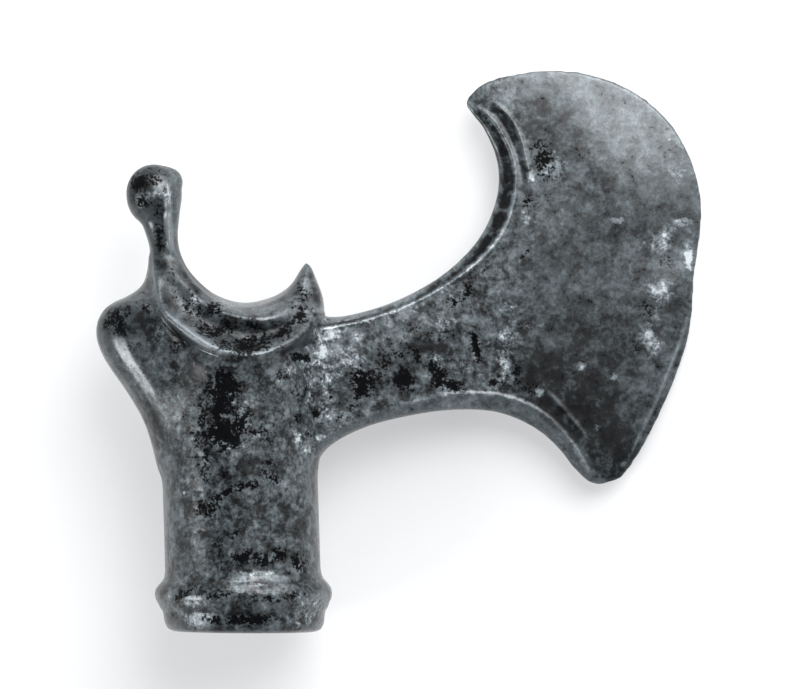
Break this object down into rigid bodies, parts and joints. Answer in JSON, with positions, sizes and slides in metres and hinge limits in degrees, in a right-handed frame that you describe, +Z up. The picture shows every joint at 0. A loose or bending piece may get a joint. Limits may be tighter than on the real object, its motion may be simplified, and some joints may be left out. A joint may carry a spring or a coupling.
{
  "type": "bronze axe head",
  "caption": "Ancient cast crescent axe head with a blind round haft socket, lobed butt, notched crest with a knob and a horn, and a waisted fan blade.",
  "frame": {"origin": "centre of the head's outline on the ground it lies on", "axes": "+Z up; +X from the socket towards the cutting edge; +Y up the socket from its mouth towards the crest, turned 0.7 degrees from the socket's axis; the blade slopes 10.15 degrees down to its cutting edge, as the head lies"},
  "size_m": [0.115, 0.1062, 0.0339],
  "materials": {
    "patinated_bronze": "near-black grey bronze patina, mottled with darker pits and paler crusts, worn brighter on ridges and rims"
  },
  "bodies": {
    "root": {"axe_head": "patinated_bronze"}
  },
  "joints": []
}
